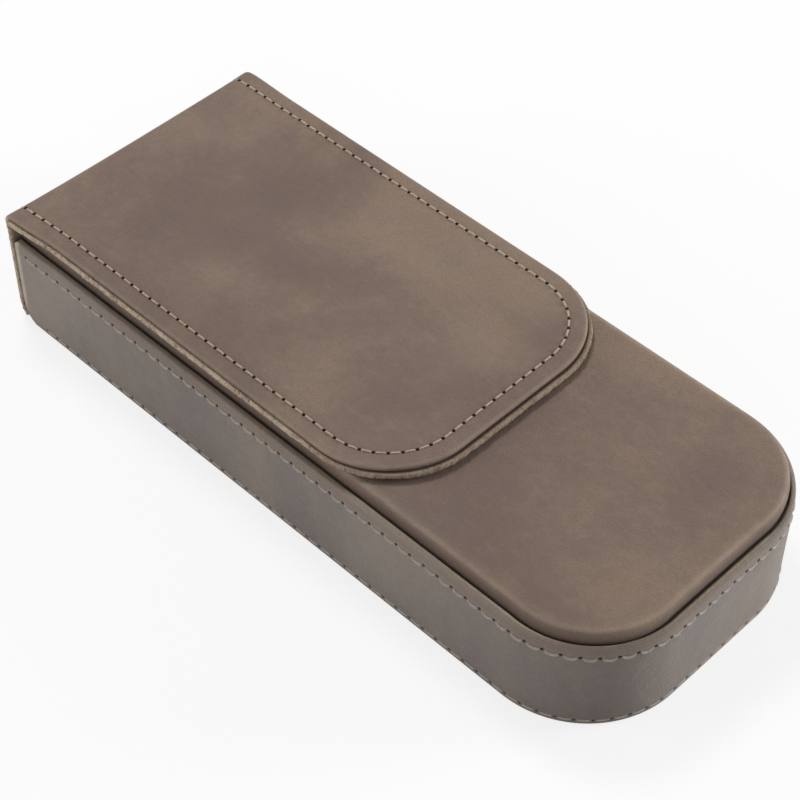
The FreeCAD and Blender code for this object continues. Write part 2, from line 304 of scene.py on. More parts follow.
def addNode(tree, kind, settings=None, **inputs):
    node = tree.nodes.new("ShaderNode" + kind)
    for key, value in (settings or {}).items():
        setattr(node, key, value)
    setInputs(tree, node, {key.replace("_", " "): value for key, value in inputs.items()})
    return node


def srgb(red, green, blue):
    # a colour as it looks on screen, 0 to 255, to the linear value that a shader takes
    def linear(value):
        value /= 255
        return value / 12.92 if value <= 0.04045 else ((value + 0.055) / 1.055) ** 2.4
    return (linear(red), linear(green), linear(blue), 1)


def objectCoords(tree, shift=(0, 0, 0), stretch=(1, 1, 1)):
    coords = addNode(tree, "TexCoord")
    mapping = addNode(
        tree, "Mapping", Vector=coords.outputs["Object"], Location=shift, Scale=stretch
    )
    return mapping.outputs["Vector"]


def noiseAt(tree, where, featureSize, detail=3.0, roughness=0.55, distortion=0.0):
    node = addNode(
        tree, "TexNoise", Vector=where, Scale=1 / featureSize, Detail=detail,
        Roughness=roughness, Distortion=distortion,
    )
    return node.outputs["Fac"]


def ramp(tree, fac, stops):
    node = addNode(tree, "ValToRGB", Fac=fac)
    elements = node.color_ramp.elements
    while len(elements) < len(stops):
        elements.new(0.5)
    for element, (place, colour) in zip(elements, stops):
        element.position = place
        element.color = colour
    return node.outputs["Color"]


def mixColour(tree, fac, a, b):
    node = addNode(tree, "Mix", {"data_type": "RGBA"})
    setInputs(tree, node, {0: fac, 6: a, 7: b})  # by number, as A and B name several sockets
    return node.outputs[2]


def math2(tree, operation, a, b):
    node = addNode(tree, "Math", {"operation": operation})
    setInputs(tree, node, {0: a, 1: b})
    return node.outputs[0]


def weighted(tree, a, shareA, b, shareB):
    partA = math2(tree, "MULTIPLY", a, shareA)
    return math2(tree, "ADD", partA, math2(tree, "MULTIPLY", b, shareB))


def mixOf(a, b, share):
    return tuple(x * (1 - share) + y * share for x, y in zip(a, b))


def wearAndPaintedLightOf(tree):
    # the value that each mesh carries: towards 1 pale, for rubbed edges and painted highlights; towards -1
    # dark, for burnished edges and painted shade
    return addNode(tree, "Attribute", {"attribute_name": "wearAndPaintedLight"}).outputs["Fac"]


def rangeOf(tree, value, low, high, toLow, toHigh):
    node = addNode(
        tree, "MapRange", Value=value, From_Min=low, From_Max=high, To_Min=toLow,
        To_Max=toHigh,
    )
    return node.outputs["Result"]


def bumpOf(tree, height, distance, strength, under=None):
    node = addNode(tree, "Bump", Height=height, Distance=distance, Strength=strength)
    if under:
        setInputs(tree, node, {"Normal": under})
    return node.outputs["Normal"]


topLook = {
    "cool": srgb(112, 95, 87),
    "plain": srgb(117, 99, 88),
    "warm": srgb(123, 105, 90),
    "dark": srgb(90, 75, 66),
    "light": srgb(144, 126, 109),
    "cloudDepth": 0.32,
    # pale cut leather, also used for painted highlights, and dark burnished leather, also used for painted
    # shade
    "raw": srgb(178, 162, 138),
    "burntAndShade": srgb(64, 50, 43),
    "streak": (1, 1, 1),
    "rim": None,
    "sheen": 0.12,
}
bandLeatherLook = {
    "cool": srgb(113, 104, 99),
    "plain": srgb(118, 108, 101),
    "warm": srgb(124, 113, 102),
    "dark": srgb(92, 83, 78),
    "light": srgb(142, 133, 125),
    "cloudDepth": 0.18,
    # pale cut leather, also used for painted highlights, and dark burnished leather, also used for painted
    # shade
    "raw": srgb(180, 167, 146),
    "burntAndShade": srgb(60, 48, 42),
    "streak": (1, 1, 0.35),
    "rim": srgb(122, 104, 91),  # the rubbed edge above the upper stitches
    "sheen": 0.3,  # paler where the wall turns away
}
trayLeatherLook = dict(bandLeatherLook, streak=(1, 1, 1), rim=None)


leatherSizes = {
    "cloud": 48 * mm,
    "blotch": 15 * mm,
    "mottle": 2.8 * mm,
    "pores": 0.5 * mm,
    "scuff": 2.4 * mm,
    "cells": 0.9 * mm,
    "folds": 7 * mm,
    "grainDepth": 0.08 * mm,
    "foldDepth": 0.25 * mm,
}


def leather(name, look, shift):
    # matt pull-up leather: soft clouds, fine mottling, faint scuffs and a fine grain
    material, tree, shader = newMaterial(name)
    sizes = leatherSizes
    where = objectCoords(tree, shift)
    streaked = objectCoords(tree, shift, look["streak"])
    cloud = noiseAt(tree, streaked, sizes["cloud"], 2.0, 0.5, 0.5)
    blotch = noiseAt(tree, streaked, sizes["blotch"], 4.0, 0.6, 0.5)
    mottle = noiseAt(tree, where, sizes["mottle"], 4.0, 0.65, 0.3)
    hue = weighted(tree, cloud, 0.5, blotch, 0.5)

    def tinted(value, low, high, toLow, toHigh, name):
        # the colour so far, mixed towards one of the look's colours over a range of a value
        return mixColour(tree, rangeOf(tree, value, low, high, toLow, toHigh), colour, look[name])

    colour = ramp(tree, hue, [(0.4, look["cool"]), (0.5, look["plain"]), (0.6, look["warm"])])
    shade = weighted(tree, hue, 0.6, mottle, 0.4)
    colour = tinted(shade, 0.3, 0.52, 0.42, 0.0, "dark")
    colour = tinted(shade, 0.5, 0.7, 0.0, 0.3, "light")
    if look["rim"]:
        place = addNode(tree, "SeparateXYZ", Vector=objectCoords(tree)).outputs
        rubbed = rangeOf(tree, place["Z"], bandHigh.z - 3.6 * mm, bandHigh.z - 2.6 * mm, 0, 0.75)
        rubbed = math2(tree, "MULTIPLY", rubbed, rangeOf(tree, place["Y"], -10 * mm, 30 * mm, 1, 0.3))
        rubbed = math2(tree, "MULTIPLY", rubbed, rangeOf(tree, mottle, 0.3, 0.7, 0.6, 1))
        colour = mixColour(tree, rubbed, colour, look["rim"])
    depth = look["cloudDepth"]
    colour = tinted(cloud, 0.32, 0.5, depth, 0.0, "dark")
    colour = tinted(cloud, 0.5, 0.68, 0.0, depth, "light")
    pores = noiseAt(tree, where, sizes["pores"], 3.0, 0.65)
    colour = tinted(pores, 0.32, 0.6, 0.32, 0.0, "dark")
    scuff = noiseAt(tree, objectCoords(tree, shift, (0.4, 1.7, 1)), sizes["scuff"], 5.0, 0.7, 0.8)
    colour = tinted(scuff, 0.55, 0.78, 0.0, 0.25, "light")
    wearAndPaintedLight = wearAndPaintedLightOf(tree)
    # rubbed edges, painted highlights and painted light lighten towards the raw colour
    patchy = rangeOf(tree, mottle, 0.3, 0.7, 0.6, 1.0)
    lightened = math2(tree, "MULTIPLY", rangeOf(tree, wearAndPaintedLight, 0, 1, 0, 1), patchy)
    colour = mixColour(tree, lightened, colour, look["raw"])
    # burnished edges and painted shade darken towards this colour
    colour = tinted(wearAndPaintedLight, 0, -1, 0, 1, "burntAndShade")
    cells = addNode(
        tree, "TexVoronoi", {"feature": "DISTANCE_TO_EDGE"}, Vector=where,
        Scale=1 / sizes["cells"], Randomness=1.0,
    ).outputs["Distance"]
    depth = sizes["grainDepth"]
    folds = bumpOf(tree, noiseAt(tree, where, sizes["folds"]), sizes["foldDepth"], 0.5)
    grain = bumpOf(tree, rangeOf(tree, cells, 0.0, 0.25, 0.0, 1.0), depth * 0.8, 0.6, folds)
    setInputs(tree, shader, {
        "Base Color": colour,
        "Roughness": rangeOf(tree, blotch, 0.3, 0.7, 0.68, 0.82),
        "Specular IOR Level": 0.3,
        "Sheen Weight": look["sheen"],
        "Sheen Roughness": 0.35,
        "Normal": bumpOf(tree, pores, depth, 0.9, grain),
    })
    return material


def rawEdge(name, pale, deep, burntAndShade):
    # the cut side of leather: pale matted fibres, darkened where the mesh carries painted shade
    material, tree, shader = newMaterial(name)
    where = objectCoords(tree, (0, 0, 0), (1, 1, 0.4))
    fuzz = noiseAt(tree, where, 0.5 * mm, 5.0, 0.75, 0.4)
    patches = noiseAt(tree, where, 4 * mm, 3.0, 0.6)
    mixed = weighted(tree, fuzz, 0.7, patches, 0.3)
    colour = ramp(tree, mixed, [(0.37, deep), (0.46, mixOf(deep, pale, 0.6)), (0.56, pale)])
    setInputs(tree, shader, {
        # negative values darken the cut side, as painted shade
        "Base Color": mixColour(tree, rangeOf(tree, wearAndPaintedLightOf(tree), 0, -1, 0, 1), colour, burntAndShade),
        "Roughness": 0.95,
        "Specular IOR Level": 0.15,
        "Normal": bumpOf(tree, fuzz, 0.35 * mm, 0.9),
    })
    return material


def suede(name, pale, deep):
    material, tree, shader = newMaterial(name)
    where = objectCoords(tree)
    nap = noiseAt(tree, where, 0.4 * mm, 4.0, 0.7)
    brushed = noiseAt(tree, where, 18 * mm, 5.0, 0.6, 0.2)
    mixed = weighted(tree, nap, 0.55, brushed, 0.45)
    setInputs(tree, shader, {
        "Base Color": ramp(tree, mixed, [(0.36, deep), (0.64, pale)]),
        "Roughness": 0.96,
        "Specular IOR Level": 0.1,
        "Sheen Weight": 0.25,
        "Sheen Roughness": 0.5,
        "Normal": bumpOf(tree, nap, 0.15 * mm, 0.7),
    })
    return material


def fibrous(name, grain, stops, roughness, specular, bump, stretch=(1, 1, 1)):
    # evenly matted fibres: thread, board and the insides of the punched holes
    material, tree, shader = newMaterial(name)
    fibre = noiseAt(tree, objectCoords(tree, (0, 0, 0), stretch), *grain)
    setInputs(tree, shader, {
        "Base Color": ramp(tree, fibre, stops),
        "Roughness": roughness,
        "Specular IOR Level": specular,
    })
    if bump:
        setInputs(tree, shader, {"Normal": bumpOf(tree, fibre, *bump)})
    return material


def waxedThread(name, pale, deep):
    stops = [(0.35, deep), (0.6, pale)]
    return fibrous(name, (0.25 * mm, 3.0, 0.6), stops, 0.6, 0.35, (0.08 * mm, 0.8))


def platedSteel(name):
    material, tree, shader = newMaterial(name)
    haze = noiseAt(tree, objectCoords(tree), 1.5 * mm, 4.0, 0.6)
    setInputs(tree, shader, {
        "Base Color": ramp(tree, haze, [(0.3, srgb(178, 178, 180)), (0.7, srgb(205, 204, 202))]),
        "Roughness": rangeOf(tree, haze, 0.3, 0.7, 0.22, 0.4),
        "Metallic": 1.0,
    })
    return material


# the panel's darker colour is for painted shade down its side
panelLeatherLook = dict(topLook, burntAndShade=srgb(84, 67, 57), cloudDepth=0.16)
strapLeather = leather("strapLeather", topLook, (0.013, 0.021, 0.0))
panelLeather = leather("panelLeather", panelLeatherLook, (0.31, 0.12, 0.05))
bandLeather = leather("bandLeather", bandLeatherLook, (0.07, 0.43, 0.2))
baseLeather = leather("baseLeather", trayLeatherLook, (0.5, 0.2, 0.1))
trayLeather = leather("trayLeather", trayLeatherLook, (0.7, 0.6, 0.3))
fuzzyEdge = rawEdge("fuzzyEdge", srgb(186, 168, 147), srgb(104, 88, 74), srgb(78, 62, 51))
innerSuede = suede("innerSuede", srgb(150, 134, 112), srgb(120, 105, 86))
bandThread = waxedThread("bandThread", srgb(170, 161, 151), srgb(136, 127, 118))
flapThread = waxedThread("flapThread", srgb(180, 163, 144), srgb(138, 121, 105))
boardStops = [(0.35, srgb(112, 104, 92)), (0.65, srgb(150, 140, 124))]
boardFibre = fibrous(
    "boardFibre", (0.8 * mm, 5.0, 0.7), boardStops, 0.9, 0.5, (0.1 * mm, 0.6), (1, 1, 3)
)
magnetSteel = platedSteel("magnetSteel")
holeStops = [(0.3, srgb(98, 76, 65)), (0.7, srgb(126, 102, 89))]
punched = fibrous("punched", (0.3 * mm, 3.0), holeStops, 0.95, 0.1, None)
print("materials made")


# threads: one small tube from hole to hole, repeated

def makeStitches(holes, pitch, look, place):
    # place puts a point of the flat strip (along, across, out) where the leather is
    bm = bmesh.new()
    rise = look["rise"] + [(1 - share, out) for share, out in reversed(look["rise"][:-1])]
    lean = Matrix.Rotation(math.pi / 2, 4, "Y")
    for start in holes:
        rings = []
        for share, out in rise:
            sag = look["sag"] * math.sin(math.pi * share)
            ring = bmesh.ops.create_circle(bm, segments=5, radius=look["radius"])["verts"]
            centre = Vector((start + share * pitch, -sag, out * mm))
            bmesh.ops.transform(bm, matrix=Matrix.Translation(centre) @ lean, verts=ring)
            rings.append(ring)
        edges = {edge for ring in rings for vert in ring for edge in vert.link_edges}
        bmesh.ops.bridge_loops(bm, edges=list(edges))
        for ring in (rings[0], rings[-1]):
            ends = {edge for vert in ring for edge in vert.link_edges if edge.is_boundary}
            bmesh.ops.edgeloop_fill(bm, edges=list(ends))
    for vert in bm.verts:
        vert.co = place(vert.co)
    return bm


# side band

bandLook = {
    "pitch": 4.05 * mm,
    "firstHole": 4.0 * mm,  # from the mouth
    "holeRadius": 0.45 * mm,  # half the width of the cells that a hole is punched in
    "rimHole": (0.45 * mm, 0.6 * mm),  # the punched holes' own radius and depth
    "baseHole": (0.28 * mm, 0.22 * mm),
    "rimRow": bandHigh.z - 3.15 * mm,
    "baseRow": 1.75 * mm,
    "thickness": 1.6 * mm,
    "lowerMouthCorner": 5.5 * mm,
    "upperMouthCorner": 1.4 * mm,
    "rawEdge": 1.2 * mm,  # the pale strip where the band ends
    "mouthBack": 0.2 * mm,
    "cornerNarrow": 0.7 * mm,  # how much thinner the top edge is at the tip's corners
    "narrowFrom": 0.42 * mm,  # inset where that starts
    "topWidth": 1.8 * mm,
    "topEdge": [  # inset and drop in mm, and wear and painted light
        (0, 1.75, 0), (0.06, 1.3, -0.16), (0, 0.95, 0), (0.04, 0.5, 0), (0.18, 0.2, 0.06),
        # the crest: rubbed pale, with a painted highlight by the groove
        (0.42, 0.05, 0.1), (0.75, 0, 0.15), (1.1, 0.01, 0.4), (1.42, 0.08, 0.6), (1.68, 0.26, 0.3),
        # painted shade down the inner wall, in the groove
        (1.8, 0.5, -0.5), (1.8, 1.2, -0.3), (1.6, 1.8, -0.3), (1.6, 4, -0.5),
    ],
    "mouthFade": 9 * mm,  # the length over which the mouth's round corners draw the band back
    "tipFrom": 140 * mm,  # from here the top edge is rubbed paler
    "tipFade": 20 * mm,
    "wave": 0.07 * mm,
    # a thread's share of the way to the next hole, and its height in mm, up to the middle
    "threadRise": [(0.105, -0.75), (0.125, -0.35), (0.17, -0.12), (0.3, -0.05), (0.5, -0.03)],
}


def bandRows():
    look = bandLook
    top = bandHigh.z
    low = bandLow.z
    deep = look["thickness"]
    hole = look["holeRadius"]
    rim = look["rimRow"]
    base = look["baseRow"]
    # the lower edge and the lower stitches
    rows = [(deep, low, 0), (0.5 * mm, low, -0.3), (0.16 * mm, low + 0.08 * mm, 0.1)]
    rows += [(0, low + 0.34 * mm, 0.15), (0, base - hole, 0), (0.05 * mm, base, -0.1), (0, base + hole, 0)]
    for share in (0.04, 0.09, 0.16, 0.27, 0.45, 0.65, 0.82, 0.95):
        rows.append((0, base + hole + (rim - base - 2 * hole) * share, 0))
    # the upper stitches, and the top edge from outside inwards: rubbed pale, with a painted highlight along
    # its crest and painted shade down its inner wall
    rows += [(0, rim - hole, 0), (0.06 * mm, rim, -0.1), (0, rim + hole, 0)]
    for inset, down, wearAndPaintedLight in look["topEdge"]:
        rows.append((inset * mm, top - down * mm, wearAndPaintedLight))
    # the inner face
    for height in (16.5, 12, 8, 5.6, 4.2, 3.1, 2.2, 1.5, 1.0, 0.6):
        rows.append((deep, height * mm, -0.3))
    return rows + [(deep, low, 0)]


def onBand(point):
    # a flat strip point (along, height, out) on the band's outer face
    place, out = alongOutline(caseOutline, point.x)
    return place + out * point.z + Vector((0, 0, point.y))


def cornerShift(radius, height):
    # how far a round corner stands back at a height above its end
    reach = max(0.0, radius - height)
    return radius - math.sqrt(max(0.0, radius ** 2 - reach ** 2))


def makeBand():
    look = bandLook
    rows = bandRows()
    length = outlineLength(caseOutline)
    columns, holes = stitchColumns(length, look["pitch"], look["firstHole"], look["holeRadius"])
    raw = look["rawEdge"]
    # more columns where the pale strip at the mouth fades
    for place in (0.15 * mm, 0.4 * mm, 0.65 * mm, raw * 0.6, raw * 0.85, raw + 0.3 * mm, raw + 0.8 * mm):
        columns += [place, length - place]
    columns = sorted(set(columns))
    bm, corner = makeStrip(columns, rows)
    heights = [row[1] for row in rows]
    for name, punchedHoles in (("base", holes[1:-1]), ("rim", holes)):
        radius, depth = look[name + "Hole"]
        punchHoles(
            bm, corner, columns, punchedHoles, heights.index(look[name + "Row"]), radius,
            Vector((0, depth, 0)), Vector((0, 0, 1)),
        )
    bmesh.ops.remove_doubles(bm, verts=bm.verts[:], dist=1e-7)
    wearAndPaintedLight = bm.verts.layers.float["wearAndPaintedLight"]
    for vert in bm.verts:
        # the pale strip at the mouth, whose corners are round
        fromEnd = min(vert.co.x, length - vert.co.x)
        paleEnd = raw * (0.8 + 0.3 * smoothNoise(0, 0, vert.co.z, 3 * mm))
        pale = 1 - softStep((fromEnd - paleEnd) / (0.9 * mm))
        if pale > 0 and vert.co.y < 0.3 * mm:
            pale *= 0.85 * softStep((vert.co.z - 3.5 * mm) / (4 * mm))
            vert[wearAndPaintedLight] = -0.6 if fromEnd < 0.1 * mm else pale
        shift = cornerShift(look["lowerMouthCorner"], vert.co.z - bandLow.z)
        shift += cornerShift(look["upperMouthCorner"], bandHigh.z - vert.co.z)
        shift = (shift + look["mouthBack"]) * max(0.0, 1 - fromEnd / look["mouthFade"])
        vert.co.x += shift if vert.co.x < length / 2 else -shift
    closeEnds(bm)
    for vert in bm.verts:
        if 1 * mm < vert.co.y < 1.75 * mm and vert.co.z > bandHigh.z - 0.4 * mm:
            fromEnd = min(vert.co.x, length - vert.co.x)
            vert[wearAndPaintedLight] += 0.4 * softStep((fromEnd - look["tipFrom"]) / look["tipFade"])
        wave = smoothNoise(vert.co.x, vert.co.z, 0, 17 * mm)
        wave += 0.4 * smoothNoise(vert.co.x, vert.co.z, 5, 5 * mm)
        if vert.co.y < 0.5 * mm and 3 * mm < vert.co.z < 22.5 * mm:
            vert.co.y += wave * look["wave"]
        inward = (vert.co.y - look["narrowFrom"]) / (look["topWidth"] - look["narrowFrom"])
        if inward > 0 and vert.co.z > bandHigh.z - 1.5 * mm:
            vert.co.y -= look["cornerNarrow"] * cornerReach(caseOutline, vert.co.x) * inward
    layAlong(bm, caseOutline, 0)
    band = toObject("sideBand", bm, [bandLeather, punched], "sleeve")
    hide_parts("side_band")
    for name, level, starts, radius, sag in (
        ("rim_thread", look["rimRow"], holes[:-1], 0.36 * mm, 0.75 * mm),
        ("base_thread", look["baseRow"], holes[1:-2], 0.24 * mm, 0.18 * mm),
    ):
        def onRow(point):
            return onBand(Vector((point.x, point.y + level, point.z)))
        threadLook = {"radius": radius, "sag": sag, "rise": look["threadRise"]}
        threadBm = makeStitches(starts, look["pitch"], threadLook, onRow)
        thread = toObject(name.replace("_thread", "Stitches"), threadBm, [bandThread], "sleeve")
        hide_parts(name)


makeBand()
print("side band made")


# front panel: moulded leather with a soft edge, standing in its groove

panelLook = {
    "inset": 2.6 * mm,  # its side, from the case's outline
    "flange": 1.6 * mm,  # the leather below the groove, from the same
    "leather": 1.2 * mm,
    "flangeLow": 20.5 * mm,
    "grooveFloor": 24.8 * mm,
    "underside": 29.0 * mm,
    "columnStep": 1.4 * mm,
    "cornerSpread": 0.9 * mm,  # its two corners are tighter than the band's
    "mouthBack": 0.8 * mm,  # clears the fold of the strap when the flap is open
    "mouthRound": 0.8 * mm,
    "mouthFade": 4 * mm,
}


def makePanel():
    look = panelLook
    top = panelHigh.z
    inset = look["inset"]
    rows = [
        (inset + look["leather"], look["underside"], 0),
        (inset + look["leather"], look["grooveFloor"] - look["leather"], 0),
        (look["flange"] + look["leather"], look["grooveFloor"] - look["leather"], 0),
        (look["flange"] + look["leather"], look["flangeLow"], 0),
        (look["flange"], look["flangeLow"], 0),
        # painted light: the groove's floor is paler than the shade it lies in
        (look["flange"], look["grooveFloor"], 0.5),
        (inset, look["grooveFloor"], 0.5),
        (inset, top - 4.2 * mm, 0.1),
        # painted shade down the side above the groove
        (inset - 0.12 * mm, top - 3.4 * mm, -0.5),
        (inset - 0.2 * mm, top - 2.7 * mm, -0.6),
        (inset - 0.2 * mm, top - 1.9 * mm, -0.45),
        (inset - 0.1 * mm, top - 1.2 * mm, -0.2),
        # painted highlight along the rounded edge
        (inset + 0.12 * mm, top - 0.65 * mm, 0.08),
        (inset + 0.42 * mm, top - 0.28 * mm, 0.3),
        (inset + 0.85 * mm, top - 0.09 * mm, 0.25),
        (inset + 1.6 * mm, top - 0.03 * mm, 0.06),
        (inset + 3.0 * mm, top - 0.01 * mm, 0),
        (inset + 5.0 * mm, top, 0),
    ]
    outline = caseOutline
    path = insetOutline(outline, inset)
    columns = evenColumns(outlineLength(path), look["columnStep"])
    bm, corner = makeStrip(columns, rows)
    for vert in bm.verts:
        above = softStep((vert.co.z - look["grooveFloor"]) / (1.2 * mm))
        vert.co.y -= look["cornerSpread"] * cornerReach(path, vert.co.x) * above
    layAlong(bm, outline, inset)
    fillInside(bm, corner, columns, len(rows) - 1)
    fillInside(bm, corner, columns, 0)
    closeEnds(bm)
    cutGrid(bm, 7, range(-13, 14), range(-5, 6))
    for vert in bm.verts:
        nearMouth = max(0.0, 1 - (vert.co.x - outline["start"]) / look["mouthFade"])
        back = look["mouthBack"] * softStep((vert.co.z - 26 * mm) / (2 * mm))
        share = (vert.co.z - look["underside"]) / (top - look["underside"])
        vert.co.x += (back + look["mouthRound"] * softStep(share)) * nearMouth
    panel = toObject("frontPanel", bm, [panelLeather], "sleeve", 50)
    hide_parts("front_panel_leather")
    # the leather turned down over the board's end at the mouth
    half = panelHigh.y - (inset - look["flange"]) - 0.4 * mm
    low = Vector((panelLow.x + look["mouthBack"], -half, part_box("front_panel_lining")[0].z))
    bm = makeBox(low, Vector((low.x + look["leather"], half, top - 0.95 * mm)))
    roundEdges(bm, bm.edges[:], 0.35 * mm, 3)
    lip = toObject("panelMouthEdge", bm, [panelLeather], "sleeve")


makePanel()
print("front panel made")


# strap: two plies cut flat, punched, then bent over the square end

strapLook = {
    "outerPly": 1.4 * mm,
    "liningPly": 1.4 * mm,
    "curlAngle": math.radians(37),
    "curlCentre": Vector((bandLow.x + 5.5 * mm, 0, 5.5 * mm)),
    "foldRadius": foldHigh.z - foldLow.z,
    "stitchInset": 4.3 * mm,
    "pitch": 3.2 * mm,
    "firstHole": 2.6 * mm,  # from the end of the fold
    "holeRadius": 0.47 * mm,
    "holeDepth": 0.9 * mm,
    "radius": 22.2 * mm,
    "foldSag": 0.45 * mm,
    "tipLift": 0.4 * mm,
    "tipLiftFrom": 18 * mm,  # from the tip
    "tipLiftOver": 16 * mm,
    "tipShadeFrom": 40 * mm,  # painted shade: the lining's cut edge is darker from here to the tip
    "tipShadeOver": 25 * mm,
    "liningReach": 0.08 * mm,  # how far the lining ply stands out past the frame's, beside
    "liningTipReach": 0.65 * mm,  # and at the tip
    "flare": {-1: 1.1 * mm, 1: 0.4 * mm},  # how much wider the strap is at the fold, each side
    "ear": 0.45 * mm,  # how far the fold's two ends stand out and droop
    "earDroop": 0.3 * mm,
    "foldStep": 0.42 * mm,  # between the mesh's rows where the strap bends
    "curlStep": 0.9 * mm,
    "bendBefore": 1.75 * mm,  # from the hinge, the stretch that bends when the flap opens
    "bendAfter": 3.25 * mm,
    "threadRise": [(0.135, -0.7), (0.15, -0.28), (0.195, -0.05), (0.31, 0.03), (0.5, 0.05)],
}
strapLook["curlRadius"] = strapLook["curlCentre"].x - endLow.x
strapLook["curlLength"] = strapLook["curlRadius"] * strapLook["curlAngle"]
strapLook["foldStart"] = strapLook["curlLength"] + foldLow.z - strapLook["curlCentre"].z
strapLook["foldEnd"] = strapLook["foldStart"] + strapLook["foldRadius"] * math.pi / 2
strapLook["length"] = strapLook["foldEnd"] + flapHigh.x - flapLow.x
strapOutline = {
    "start": 0.0,
    "tip": strapLook["length"],
    "halfWidth": flapHigh.y,
    "radius": strapLook["radius"],
}


def nearTip(along, name):
    # 0 to 1 towards the flap's tip, over the stretch that the look gives under this name
    look = strapLook
    return softStep((along - look["length"] + look[name + "From"]) / look[name + "Over"])


def bendStrap(point):
    # from the flat cut (along, across, depth) to the strap on the case
    look = strapLook
    along, across, depth = point
    if along < look["curlLength"]:
        angle = (look["curlLength"] - along) / look["curlRadius"]
        radius = look["curlRadius"] + depth
        x = look["curlCentre"].x - radius * math.cos(angle)
        z = look["curlCentre"].z - radius * math.sin(angle)
    elif along < look["foldStart"]:
        x = endLow.x - depth
        z = look["curlCentre"].z + along - look["curlLength"]
    elif along < look["foldEnd"]:
        angle = (along - look["foldStart"]) / look["foldRadius"]
        radius = look["foldRadius"] + depth
        x = flapLow.x - radius * math.cos(angle)
        z = foldLow.z + radius * math.sin(angle)
    else:
        x = flapLow.x + along - look["foldEnd"]
        z = foldHigh.z + depth
        z += look["tipLift"] * nearTip(along, "tipLift")
    fromFold = along - (look["foldStart"] + look["foldEnd"]) / 2
    reach = 14 * mm if fromFold > 0 else 5 * mm
    fromSide = max(0.0, 1 - (across / strapOutline["halfWidth"]) ** 2)
    sag = max(0.0, 1 - abs(fromFold) / reach) ** 2 * fromSide
    side = 1 if across > 0 else -1
    nearEdge = softStep((abs(across) - 30 * mm) / (8 * mm))
    wider = look["flare"][side] * nearEdge * softStep(1 - (along - look["foldEnd"]) / (16 * mm))
    ear = nearEdge * softStep(1 - abs(fromFold) / (5 * mm))
    z -= look["foldSag"] * sag + look["earDroop"] * ear
    return Vector((x - look["ear"] * ear, across + side * wider, z))


def finishStrapPiece(name, bm, materials, nodes):
    piece = toObject(name, bm, materials, None, sharp=45)
    hinge = Vector((endLow.x + strapLook["outerPly"], 0, foldHigh.z - strapLook["outerPly"]))
    diagonal = Vector((1, 0, 1))
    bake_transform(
        piece, "drawer", "flap", start=hinge - diagonal * strapLook["bendBefore"],
        end=hinge + diagonal * strapLook["bendAfter"],
    )
    if nodes:
        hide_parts(*nodes)


def foldCuts():
    # places across the strap where it bends: the fold with a stretch each side, and the curl
    look = strapLook
    fine = look["foldStep"]
    cuts = []
    for place, end, step in (
        (look["foldStart"] - 10 * fine, look["foldEnd"] + 16 * fine, fine),
        (0.6 * mm, look["curlLength"] + 1 * mm, look["curlStep"]),
    ):
        while place < end:
            cuts.append(place)
            place += step
    return cuts


def makePly(rows, columns, outline, pathInset, bottom, punch=None):
    # a flat ply: a border strip round the U, its middle, its side and its underside
    bm, corner = makeStrip(columns, rows)
    if punch:
        punch(bm, corner)
    layAlong(bm, outline, pathInset)
    fillInside(bm, corner, columns, len(rows) - 1)
    closeBelow(bm, bottom, 0 if punch else 1)
    cutGrid(bm, 6, range(1, int(outline["tip"] / (6 * mm)) + 1), range(-6, 7))
    cutAcross(bm, foldCuts(), 0, False)
    return bm


def rimDirection(flat, outline, distance):
    # the outward direction where a flat point lies near the U's rim, or None
    bend = outline["tip"] - outline["radius"]
    tipHalf = outline["halfWidth"] - outline["radius"]
    if flat.x <= bend:
        toRim = outline["halfWidth"] - abs(flat.y)
        out = Vector((0, math.copysign(1, flat.y), 0))
    elif abs(flat.y) <= tipHalf:
        toRim = outline["tip"] - flat.x
        out = Vector((1, 0, 0))
    else:
        spoke = Vector((flat.x - bend, flat.y - math.copysign(tipHalf, flat.y), 0))
        toRim = outline["radius"] - spoke.length
        out = spoke.normalized()
    return out if toRim < distance else None


